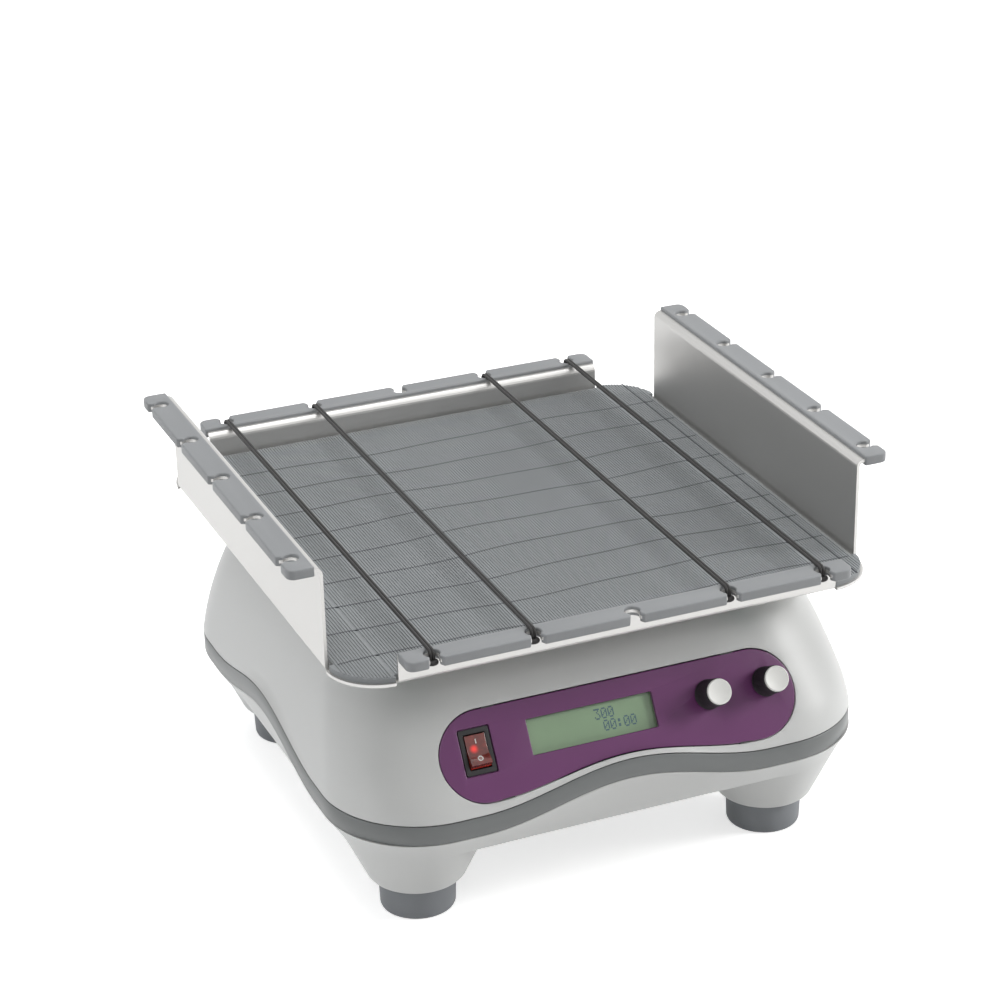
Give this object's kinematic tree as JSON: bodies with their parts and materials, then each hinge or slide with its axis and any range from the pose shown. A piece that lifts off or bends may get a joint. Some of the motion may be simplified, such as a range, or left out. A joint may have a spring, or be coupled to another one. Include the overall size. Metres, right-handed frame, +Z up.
{
  "type": "orbital shaker",
  "caption": "Bench-top orbital shaker: notched sheet-metal tray with ribbed mat and elastic bands on a domed four-legged housing with display, rocker switch and knobs.",
  "frame": {"origin": "on the table under the middle of the tray, which rests at the back of its circle", "axes": "+Z up, -Y towards the control panel, +X to the right of a person who faces it"},
  "size_m": [0.3092, 0.3092, 0.1951],
  "materials": {
    "shell": "light grey moulded plastic, satin",
    "trim": "mid grey moulded plastic",
    "foot_rubber": "grey rubber",
    "edging_rubber": "grey rubber, smooth",
    "mat_rubber": "grey rubber with fine ribs",
    "band_rubber": "black elastic",
    "tray_sheet": "bent sheet, pale satin",
    "panel": "purple satin overlay on a plate",
    "display": "green display cell",
    "black_plastic": "black moulded plastic",
    "red_rocker": "clear red plastic, lit",
    "silver_cap": "silver satin cap",
    "pad": "pale clear elastomer",
    "steel": "turned and ground steel",
    "zinc": "zinc plated steel",
    "castings": "cast and turned aluminium",
    "iron": "grey iron",
    "circuit": "green circuit board with parts",
    "belt": "black belt"
  },
  "bodies": {
    "base": {"lower_shell": "shell", "upper_shell": "shell", "trim_band": "trim", "foot_front_left": "foot_rubber", "foot_front_right": "foot_rubber", "foot_rear_left": "foot_rubber", "foot_rear_right": "foot_rubber", "foot_screws": "zinc", "shell_screws": "zinc", "control_panel": "panel", "display_cell": "display", "display_board": "circuit", "switch_frame": "black_plastic", "time_encoder": "zinc", "speed_encoder": "zinc", "control_board": "circuit", "power_supply": "circuit", "power_inlet": "black_plastic", "chassis_plate": "zinc", "chassis_screws": "zinc", "drive_housing": "castings", "drive_bearings": "steel", "idler_housing_left": "castings", "idler_housing_right": "castings", "idler_housing_rear": "castings", "idler_bearings": "steel", "motor": "black_plastic", "motor_bracket": "zinc", "drive_belt": "belt"},
    "power_rocker": {"rocker": "red_rocker"},
    "time_dial": {"time_shaft": "castings", "time_knob": "black_plastic", "time_knob_cap": "silver_cap"},
    "speed_dial": {"speed_shaft": "castings", "speed_knob": "black_plastic", "speed_knob_cap": "silver_cap"},
    "rotor": {"motor_shaft": "steel", "motor_pulley": "castings"},
    "crank": {"crank_shaft": "steel", "drive_pulley": "castings", "counterweight": "iron"},
    "left_idler": {"idler_crank_left": "steel"},
    "right_idler": {"idler_crank_right": "steel"},
    "rear_idler": {"idler_crank_rear": "steel"},
    "platform": {"tray_carrier": "castings", "carrier_bearings": "steel", "tray_screws": "zinc", "tray": "tray_sheet", "tray_pads": "pad", "tray_mat": "mat_rubber", "edging_left": "edging_rubber", "edging_right": "edging_rubber", "edging_front": "edging_rubber", "edging_rear": "edging_rubber", "band_far_left": "band_rubber", "band_left": "band_rubber", "band_right": "band_rubber", "band_far_right": "band_rubber"}
  },
  "joints": [
    {"name": "crank_turn", "type": "hinge", "parent": "base", "child": "crank", "pos_m": [0, -0.0095, 0.108], "axis": [0, 0, 1], "continuous": true},
    {"name": "platform_turn", "type": "hinge", "parent": "crank", "child": "platform", "pos_m": [0, 0, 0.13], "axis": [0, 0, 1], "continuous": true},
    {"name": "rotor_turn", "type": "hinge", "parent": "base", "child": "rotor", "pos_m": [-0.068, 0.0325, 0.1], "axis": [0, 0, 1], "continuous": true},
    {"name": "left_idler_turn", "type": "hinge", "parent": "base", "child": "left_idler", "pos_m": [-0.078, -0.0615, 0.108], "axis": [0, 0, 1], "continuous": true},
    {"name": "right_idler_turn", "type": "hinge", "parent": "base", "child": "right_idler", "pos_m": [0.078, -0.0615, 0.108], "axis": [0, 0, 1], "continuous": true},
    {"name": "rear_idler_turn", "type": "hinge", "parent": "base", "child": "rear_idler", "pos_m": [0, 0.0745, 0.108], "axis": [0, 0, 1], "continuous": true},
    {"name": "rocker_tilt", "type": "hinge", "parent": "base", "child": "power_rocker", "pos_m": [-0.0736, -0.13304, 0.09284], "axis": [1, 0, 0], "range_deg": [0, 24]},
    {"name": "time_dial_turn", "type": "hinge", "parent": "base", "child": "time_dial", "pos_m": [0.0477, -0.13458, 0.09604], "axis": [0, -0.848, 0.5299], "continuous": true},
    {"name": "speed_dial_turn", "type": "hinge", "parent": "base", "child": "speed_dial", "pos_m": [0.0787, -0.13458, 0.09604], "axis": [0, -0.848, 0.5299], "continuous": true}
  ],
  "couplings": [
    {"joint": "platform_turn", "follows": "crank_turn", "ratio": -1},
    {"joint": "rotor_turn", "follows": "crank_turn", "ratio": 3},
    {"joint": "left_idler_turn", "follows": "crank_turn", "ratio": 1},
    {"joint": "right_idler_turn", "follows": "crank_turn", "ratio": 1},
    {"joint": "rear_idler_turn", "follows": "crank_turn", "ratio": 1}
  ]
}
